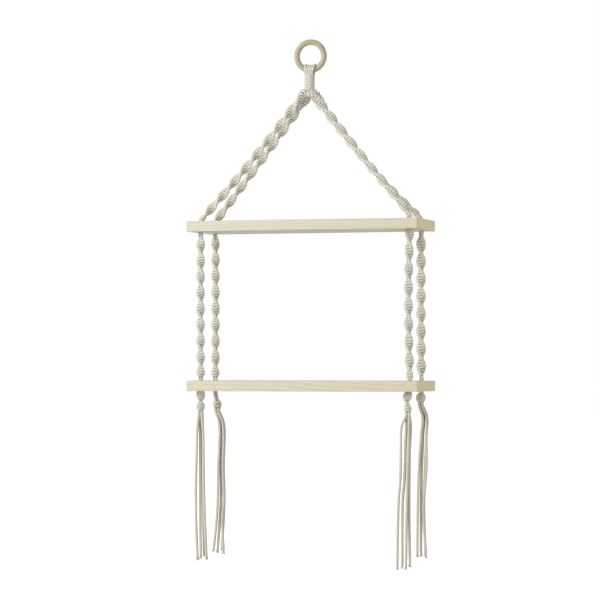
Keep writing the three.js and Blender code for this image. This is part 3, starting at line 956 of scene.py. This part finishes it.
def make_loops(cotton):
    """The cords over the ring's bar, which draw together into the wrapped neck."""
    skein = Skein("ring_loops")
    tip_z = WRAP_TOP_Z + WRAP_ABOVE
    end_z = WRAP_TOP_Z - LOOP_END_BELOW
    for number in range(LOOPS):
        order = number - (LOOPS - 1) / 2
        rows = []
        for angle in LEAVE_ANGLE * (2 * np.arange(LOOP_STEPS + 1) / LOOP_STEPS - 1):
            drawn = abs(angle) / LEAVE_ANGLE
            x = order * (LOOP_PITCH + (LOOP_PITCH_BELOW - LOOP_PITCH) * drawn ** 2)
            lean = math.cos(math.asin(x / RING_RADIUS))
            radius = LOOP_RADIUS - LOOP_THINNER_BELOW * drawn ** 2
            reach = BAR_RADIUS + LOOP_CLEARANCE + radius
            y = (reach + LOOP_BULGE * math.sin(angle) ** 2) * math.sin(angle)
            z = RING_CENTRE_Z - RING_RADIUS * lean + reach * math.cos(angle) / lean
            rows.append((x + NECK_ASIDE * drawn ** 2, y, z, radius))
        tip = (order * LOOP_PITCH_BELOW, LOOP_TIP_DEPTH, tip_z, LOOP_TIP_RADIUS)
        end = (order * NECK_CORD_PITCH, NECK_CORD_DEPTH, end_z, NECK_CORD_RADIUS)
        for aside, depth, z, radius in (tip, end):
            rows.insert(0, (NECK_ASIDE + aside, -depth, z, radius))
            rows.append((NECK_ASIDE + aside, depth, z, radius))
        curve = catmull(rows, LOOP_CURVE_STEPS)
        skein.cord(curve[:, :3], curve[:, 3], sides=SMOOTH_CORD_SIDES, lay=LONG_LAY)
    finish_cotton(skein.build(cotton), "hanger", *[f"cord_loop_{n + 1}" for n in range(LOOPS)])


def make_neck(cotton):
    """The gathered cords inside the wrapping, as a tight bundle."""
    skein = Skein("neck_bundle")
    for count, reach in NECK_BUNDLE:
        for angle in np.arange(count) * FULL_TURN / count:
            x, y = NECK_ASIDE + reach * math.cos(angle), reach * math.sin(angle)
            ends = np.array([(x, y, WRAP_TOP_Z - NECK_BUNDLE_BELOW), (x, y, SWAY_Z)])
            skein.cord(evenly(ends, NECK_BUNDLE_STEP), NECK_BUNDLE_RADIUS)
    finish_cotton(skein.build(cotton), "hanger", "neck_core")


def make_wrap(cotton):
    """The gathering wrap: one cord wound tightly round the neck, with its ends tucked in."""
    skein = Skein("gathering_wrap")
    top = WRAP_TOP_Z + WRAP_ABOVE - WRAP_CORD_RADIUS
    fall = NECK_TO_SWAY + WRAP_ABOVE - 2 * WRAP_CORD_RADIUS
    turns = np.arange(WRAP_TURNS * WRAP_TURN_STEPS + 1) / WRAP_TURN_STEPS
    share = turns / WRAP_TURNS
    angle = QUARTER_TURN + turns * FULL_TURN
    radius = WRAP_RADIUS - WRAP_TAPER * share + WRAP_UNEVENNESS * np.sin(turns * WRAP_WAVE)
    out = np.minimum(1, np.minimum(turns, WRAP_TURNS - turns) / WRAP_TUCK_TURNS)
    radius = radius - WRAP_TUCK_DEPTH * (1 - out)
    z = top - share * fall + WRAP_UNEVENNESS * np.sin(angle / 2 + 1)
    points = np.stack([NECK_ASIDE + radius * np.cos(angle), radius * np.sin(angle), z], -1)
    skein.cord(points, WRAP_CORD_RADIUS, sides=SMOOTH_CORD_SIDES, lobe=WRAP_LOBE, lay=LONG_LAY)
    finish_cotton(skein.build(cotton), "hanger", "neck_wrap")


def make_leg(corner, cotton):
    """A rope of spiral knots from the neck to the upper board and into its hole."""
    side_x, side_y = corner["side"]
    beside, along_y, below = corner["leg_start"]
    start = np.array([beside, along_y, SWAY_Z - below])
    mouth = corner_place(corner, UPPER_TOP_Z)
    aim = mouth + (0, 0, corner["leg_foot"])
    run = np.linalg.norm(aim - start)
    straight = run - BEND_LENGTH
    bend_start = start + (aim - start) * straight / run

    shares = np.linspace(0, 1, LEG_POINTS)[:, None]
    sag = np.array([0, 0, 4 * corner["leg_sag"]])
    hang = start + (bend_start - start) * shares - sag * shares * (1 - shares)
    near = np.maximum(0, 1 - shares[:, 0] * straight / LEG_OPENING)
    hang[:, 0] += corner["leg_drawn"] * near ** 2
    shares = np.linspace(0, 1, BEND_POINTS)[1:, None]
    bend = (1 - shares) ** 2 * bend_start + 2 * shares * (1 - shares) * aim + shares ** 2 * mouth
    foot = corner_place(corner, UPPER_BOTTOM_Z + LEG_ENDS_ABOVE)
    root = [(NECK_ASIDE + side_x * x, side_y * y, SWAY_Z + z) for x, y, z in LEG_ROOT]
    lead_in = catmull([*root, hang[0], hang[1]], LEAD_IN_STEPS)[:-LEAD_IN_STEPS]
    line = Line(np.vstack([lead_in[:-1], hang, bend, foot]))
    before = length_along(lead_in)[-1]
    knotted_to = before + straight + corner["leg_knotted_to"]

    def width_at(length):
        closed = ease((knotted_to + LEG_BARE - length) / LEG_TAPER)
        if closed < 1:
            return BUNDLE_WIDTH + (corner["leg_width"] - BUNDLE_WIDTH) * closed
        narrowed = min(1, max(0, length - before) / corner["leg_narrowing"])
        more = corner["leg_width"] - corner["leg_start_width"]
        return corner["leg_start_width"] + more * narrowed

    def fullness_at(length):
        opened = ease((length - before) / LEG_OPENING)
        return 1 + (corner["leg_start_fullness"] - 1) * (1 - opened)

    first = before - LEG_KNOTS_BEFORE_START
    pitch = corner["leg_half_turn"] / KNOTS_PER_HALF_TURN
    angle_at = bead_angles(before + corner["leg_first_bead"], corner["leg_half_turn"])
    knots = half_knots(first, knotted_to, pitch, angle_at, width_at, fullness_at)
    skein = Skein(f"leg_{corner['name']}")
    rope_cords(skein, line, [knots])
    finish_cotton(skein.build(cotton), "upper_tier", f"upper_rope_{corner['name']}")


def make_lower_rope(corner, cotton):
    """A rope of spiral knots from the upper board's hole to just above the lower board."""
    top = corner_place(corner, UPPER_BOTTOM_Z + ROPE_STARTS_ABOVE)
    bottom = corner_place(corner, ROPE_BOTTOM_PIVOT_Z)
    shares = np.linspace(0, 1, ROPE_POINTS)[:, None]
    bow = np.array([corner["rope_bow"], 0, 0]) * np.sin(math.pi * shares)
    line = Line(top + (bottom - top) * shares + bow)
    board = top[2] - UPPER_BOTTOM_Z
    knotted_from = board + corner["rope_top"]

    def width_at(length):
        opened = ease((length - knotted_from + ROPE_OPENED) / ROPE_TAPER)
        closed = ease((line.length - length) / ROPE_TAPER)
        return BUNDLE_WIDTH + (corner["rope_width"] - BUNDLE_WIDTH) * min(opened, closed)

    knotted_to = line.length - ROPE_KNOTS_SHORT
    pitch = corner["rope_half_turn"] / KNOTS_PER_HALF_TURN
    angle_at = bead_angles(board + corner["rope_first_bead"], corner["rope_half_turn"])
    knots = half_knots(knotted_from, knotted_to, pitch, angle_at, width_at)
    skein = Skein(f"rope_{corner['name']}")
    rope_cords(skein, line, [knots], HOLE_ANGLE)
    piece = skein.build(cotton)
    pivot = corner_place(corner, ROPE_TOP_PIVOT_Z)
    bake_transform(piece)
    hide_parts(f"lower_rope_{corner['name']}")


def strand_start(corner):
    """The height just under a corner's last knot, where its strands start."""
    last = corner["knots"][-1]
    return LOWER_BOTTOM_Z - last["below"] - last["height"] / 2 - STRAND_GAP


def end_knot(knot, board):
    """The half knots of one knot at a rope's end, narrower towards its top and bottom."""
    middle = board + knot["below"]
    half = knot["height"] / 2

    def angle_at(length):
        return END_KNOT_TURN * (middle - length) / ROUTE_HEIGHT - BEAD_FACING

    def width_at(length):
        return knot["width"] * (1 - END_KNOT_ROUNDING * ((length - middle) / half) ** 2)

    def fullness_at(length):
        return END_KNOT_FULLNESS

    first = max(middle - half, board + END_KNOT_CLEARANCE)
    last = middle + half - END_KNOT_SHORT
    return half_knots(first, last, END_KNOT_PITCH, angle_at, width_at, fullness_at)


def make_end_knots(corner, cotton):
    """The rope's end: through the lower board's hole, with the knots that it rests on."""
    top = corner_place(corner, ROPE_BOTTOM_PIVOT_Z)
    points = [top, corner_place(corner, LOWER_BOTTOM_Z)]
    for knot in corner["knots"]:
        points.append(corner_place(corner, LOWER_BOTTOM_Z - knot["below"]) + (knot["aside"], 0, 0))
    end = corner_place(corner, strand_start(corner) - END_BUNDLE_BELOW)
    points.append(end + (corner["knots"][-1]["aside"], 0, 0))
    line = Line(catmull(points, END_LINE_STEPS))
    board = top[2] - LOWER_BOTTOM_Z
    groups = [end_knot(knot, board) for knot in corner["knots"]]
    skein = Skein(f"tied_end_{corner['name']}")
    rope_cords(skein, line, groups, HOLE_ANGLE)
    finish_cotton(skein.build(cotton), "lower_tier", f"end_knots_{corner['name']}")


def add_strand(skein, curve):
    """A twisted cord whose plies come apart over its last few millimetres."""
    along = length_along(curve)
    body = curve[along < along[-1] - FRAYED_LENGTH]
    along = along[:len(body)]
    swelled = partly(STRAND_START_KEPT, np.minimum(1, along / STRAND_SWELL_LENGTH))
    uneven = 1 + STRAND_UNEVENNESS * np.sin(along / STRAND_WAVE + rng.uniform(0, ANY_ANGLE))
    radius = STRAND_FULLNESS * CORD_DIAMETER / 2
    skein.cord(body, radius * swelled * uneven, sides=SMOOTH_CORD_SIDES)
    tail = curve[len(body) - FRAYED_OVERLAP:]
    forward, across = carried_frames(tail)
    over = np.cross(forward, across)
    shares = np.linspace(0, 1, len(tail))
    first = rng.uniform(0, FULL_TURN)
    for ply in range(PLIES):
        angle = first + ply * FULL_TURN / PLIES + shares * FRAYED_TWIST
        reach = FRAYED_REACH + rng.uniform(*FRAYED_SPREAD) * shares ** FRAYED_CURL
        offset = across * np.cos(angle)[:, None] + over * np.sin(angle)[:, None]
        points = tail + offset * reach[:, None]
        points[-1] += forward[-1] * rng.uniform(*FRAYED_END_SHIFT)
        radii = FRAYED_RADIUS + FRAYED_SWELL * shares
        skein.cord(points, radii, sides=CORD_SIDES, lobe=FRAYED_LOBE, lay=FRAYED_LAY)


def make_strands(corner, cotton):
    """The free strands under the last knot, each with its frayed end."""
    last = corner["knots"][-1]
    hole = corner_place(corner, strand_start(corner))
    for place, route in enumerate(STRAND_ROUTES[corner["name"]]):
        start_x = last["aside"] + (-STRAND_APART if place < 2 else STRAND_APART) / 2
        start_y = (STRAND_APART if place % 2 else -STRAND_APART) / 2
        rows = [(start_x, start_y, 0), (start_x, start_y, CORD_DIAMETER), *route]
        points = np.array([hole + (x, y, -down) for x, y, down in rows])
        curve = evenly(catmull(points, STRAND_CURVE_STEPS), STRAND_STEP)
        name = f"strand_{corner['name']}_{place + 1}"
        skein = Skein(f"hanging_{corner['name']}_{place + 1}")
        add_strand(skein, curve)
        piece = skein.build(cotton)
        finish_cotton(piece, "lower_tier", name)
        path = evenly(curve, length_along(curve)[-1] / STRAND_PATH_STEPS)
        length_along(curve)[-1] * MM


def dress_boards(pine):
    """Gives both boards their material."""
    for name in ("upper_board", "lower_board"):
        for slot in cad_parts[name].material_slots:
            slot.material = pine


# Stage, light and camera
def make_stage():
    """A plain pale floor well under the hanging shelf. The camera sees it as white."""
    half = FLOOR_SIZE / 2
    z = cad_low.z - FLOOR_BELOW
    corners = [(-half, -half, z), (half, -half, z), (half, half, z), (-half, half, z)]
    mesh = bpy.data.meshes.new("floor")
    mesh.from_pydata(corners, [], [(0, 1, 2, 3)])
    nodes = Nodes(bpy.data.materials.new("floor"))
    nodes.surface("Base Color", FLOOR_COLOUR)
    nodes.surface("Roughness", FLOOR_ROUGHNESS)
    nodes.surface("Specular IOR Level", 0.0)
    nodes.surface("Emission Color", WHITE)
    nodes.surface("Emission Strength", nodes.math("MULTIPLY", nodes.background_ray(), FLOOR_GLOW))
    mesh.materials.append(nodes.owner)
    floor = add_object("floor", mesh)


def make_world():
    """White to the camera and in gloss, and a plain soft light on the object."""
    world = bpy.data.worlds.new("studio")
    bpy.context.scene.world = world
    nodes = Nodes(world)
    nodes.tree.nodes.clear()
    light = nodes.add("ShaderNodeBackground", Color=WORLD_COLOUR, Strength=WORLD_STRENGTH)
    white = nodes.add("ShaderNodeBackground", Color=WHITE, Strength=1.0)
    mix = nodes.add("ShaderNodeMixShader")
    for socket, value in enumerate((nodes.background_ray(), light.outputs[0], white.outputs[0])):
        nodes.put(mix, socket, value)
    nodes.add("ShaderNodeOutputWorld", Surface=mix.outputs[0])


def turn_to(item, way):
    """Turns a lamp or the camera to look a way."""
    item.rotation_euler = Vector(way).to_track_quat("-Z", "Y").to_euler()


def make_lamps():
    """Two wide, soft lamps in front of the shelf."""
    for name, (place, width, watts) in LAMPS.items():
        data = bpy.data.lights.new(name, "AREA")
        data.shape = "DISK"
        data.size = width
        data.energy = watts
        lamp = add_object(name, data)
        lamp.location = place
        turn_to(lamp, Vector(LAMP_AIM) - Vector(place))


def make_camera():
    """The photograph's camera. It is turned a little, in place of a shift of its lens."""
    side = np.array([math.cos(CAMERA_AZIMUTH), math.sin(CAMERA_AZIMUTH), 0])
    ahead = np.array([-math.sin(CAMERA_AZIMUTH), math.cos(CAMERA_AZIMUTH), 0])
    up = np.array([0, 0, 1.0])
    aside = (PICTURE_PIXELS / 2 - AXIS_COLUMN) / FOCAL_PIXELS
    raised = (AXIS_ROW - PICTURE_PIXELS / 2) / FOCAL_PIXELS
    data = bpy.data.cameras.new("camera")
    data.sensor_width = SENSOR_WIDTH
    data.lens = FOCAL_PIXELS * SENSOR_WIDTH / PICTURE_PIXELS
    data.clip_end = CLIP_END
    camera = add_object("camera", data)
    camera.location = (up * CAMERA_Z - ahead * CAMERA_DISTANCE) * MM
    turn_to(camera, ahead + side * aside + up * raised)
    bpy.context.scene.camera = camera


cotton = make_cotton(
    "cotton",
    pale_tone=colour(231, 230, 219),
    worn_tone=colour(222, 219, 204),
    yarn_tone=colour(192, 188, 168),
)
# A darker copy of the cotton for the free strands: painted shade, standing in for the shade that
# the hanging strands lie in.
strand_cotton_painted_shade = make_cotton(
    "strand_cotton_painted_shade",
    pale_tone=colour(222, 218, 204),
    worn_tone=colour(209, 204, 187),
    yarn_tone=colour(184, 178, 158),
)
wound_cotton = make_cotton(
    "wound_cotton",
    pale_tone=colour(221, 218, 207),
    worn_tone=colour(211, 206, 193),
    yarn_tone=colour(190, 184, 168),
    yarn_share=0.15,
    relief=0.15,
)
pine = make_wood(
    "pine",
    early=(colour(214, 212, 196), colour(212, 202, 178), colour(217, 205, 187)),
    late=colour(194, 181, 142),
    # The end tone is partly the end grain's own tone and partly painted light: set lighter than the
    # face grain, it lifts the boards' end faces as if more light fell on them.
    end_tone_and_painted_light=colour(235, 219, 181),
    ring_width=5.5,
    pith=(20, -700),
    slope=0.03,
    contrast=0.55,
    roughness=0.6,
    specular=0.35,
    relief=0.18,
)
ring_wood = make_wood(
    "ring_wood",
    early=(colour(182, 170, 142), colour(171, 157, 127), colour(184, 171, 138)),
    late=colour(144, 126, 94),
    end_tone_and_painted_light=colour(172, 158, 126),
    ring_width=2.2,
    pith=(15, -60),
    slope=0.1,
    contrast=0.45,
    roughness=0.34,
    specular=0.6,
    relief=0.1,
)

make_camera()
for corner in CORNERS:
    make_strands(corner, strand_cotton_painted_shade)
make_ring(ring_wood)
make_loops(wound_cotton)
make_neck(cotton)
make_wrap(wound_cotton)
for corner in CORNERS:
    make_leg(corner, cotton)
    make_lower_rope(corner, cotton)
    make_end_knots(corner, cotton)
dress_boards(pine)

make_stage()
make_world()
make_lamps()

bpy.context.scene.view_settings.view_transform = "Standard"
